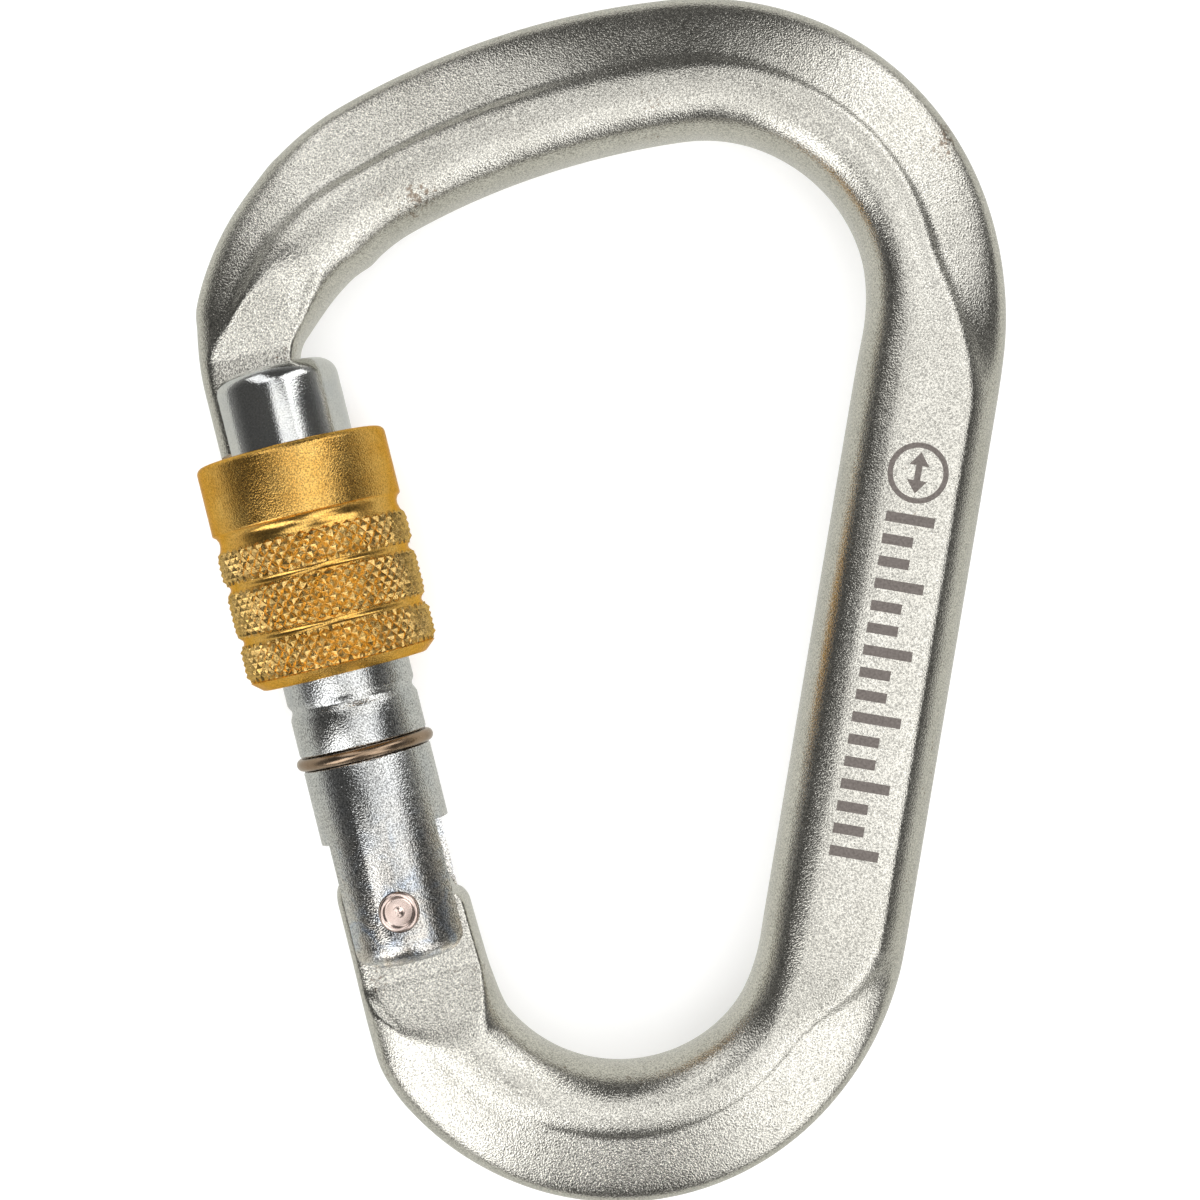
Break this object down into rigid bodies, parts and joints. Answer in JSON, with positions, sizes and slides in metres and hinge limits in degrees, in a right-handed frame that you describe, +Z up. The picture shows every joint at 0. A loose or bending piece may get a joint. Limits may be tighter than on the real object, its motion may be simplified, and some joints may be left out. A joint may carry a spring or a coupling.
{
  "type": "screw-gate carabiner",
  "caption": "Pear-shaped steel carabiner with a sprung hinged gate and a knurled screw sleeve that locks it.",
  "frame": {"origin": "centre of the carabiner's outline, on the surface it lies on: the sleeve's lowest line", "axes": "the carabiner lies flat; +Y along the spine towards the wide end, +X from the gate towards the spine, +Z up, across the body's thickness"},
  "size_m": [0.0766, 0.1149, 0.0185],
  "materials": {
    "body_steel": "zinc-plated, shot-blasted grain",
    "gate_steel": "zinc-plated, turned",
    "rivet_steel": "bare steel with a warm tint",
    "spring_steel": "drawn wire",
    "plunger_steel": "turned",
    "sleeve_anodised": "gold anodised, knurled",
    "ring_steel": "bronzed spring wire"
  },
  "bodies": {
    "body": {"frame": "body_steel"},
    "gate": {"gate_barrel": "gate_steel", "hinge_rivet": "rivet_steel", "return_spring": "spring_steel"},
    "plunger": {"spring_plunger": "plunger_steel"},
    "ring": {"stop_ring": "ring_steel"},
    "sleeve": {"locking_sleeve": "sleeve_anodised"}
  },
  "joints": [
    {"name": "gate_hinge", "type": "hinge", "parent": "body", "child": "gate", "pos_m": [-0.0094, -0.03254, 0.00925], "axis": [0, 0, -1], "range_deg": [0, 30], "stiffness_Nm_per_rad": 0.5, "springref_deg": -28.65},
    {"name": "plunger_travel", "type": "slide", "parent": "gate", "child": "plunger", "axis": [-0.4003, 0.9164, 0], "range_m": [0, 0.0017], "deforming": ["return_spring"]},
    {"name": "sleeve_turn", "type": "hinge", "parent": "gate", "child": "ring", "pos_m": [-0.0094, -0.03254, 0.00925], "axis": [-0.4003, 0.9164, 0], "range_deg": [-840, 840]},
    {"name": "sleeve_travel", "type": "slide", "parent": "ring", "child": "sleeve", "axis": [-0.4003, 0.9164, 0], "range_m": [-0.00705, 0.00705]}
  ],
  "couplings": [
    {"joint": "plunger_travel", "follows": "gate_hinge", "m_per_rad": 0.0032},
    {"joint": "sleeve_travel", "follows": "sleeve_turn", "m_per_rad": 0.00047746}
  ]
}
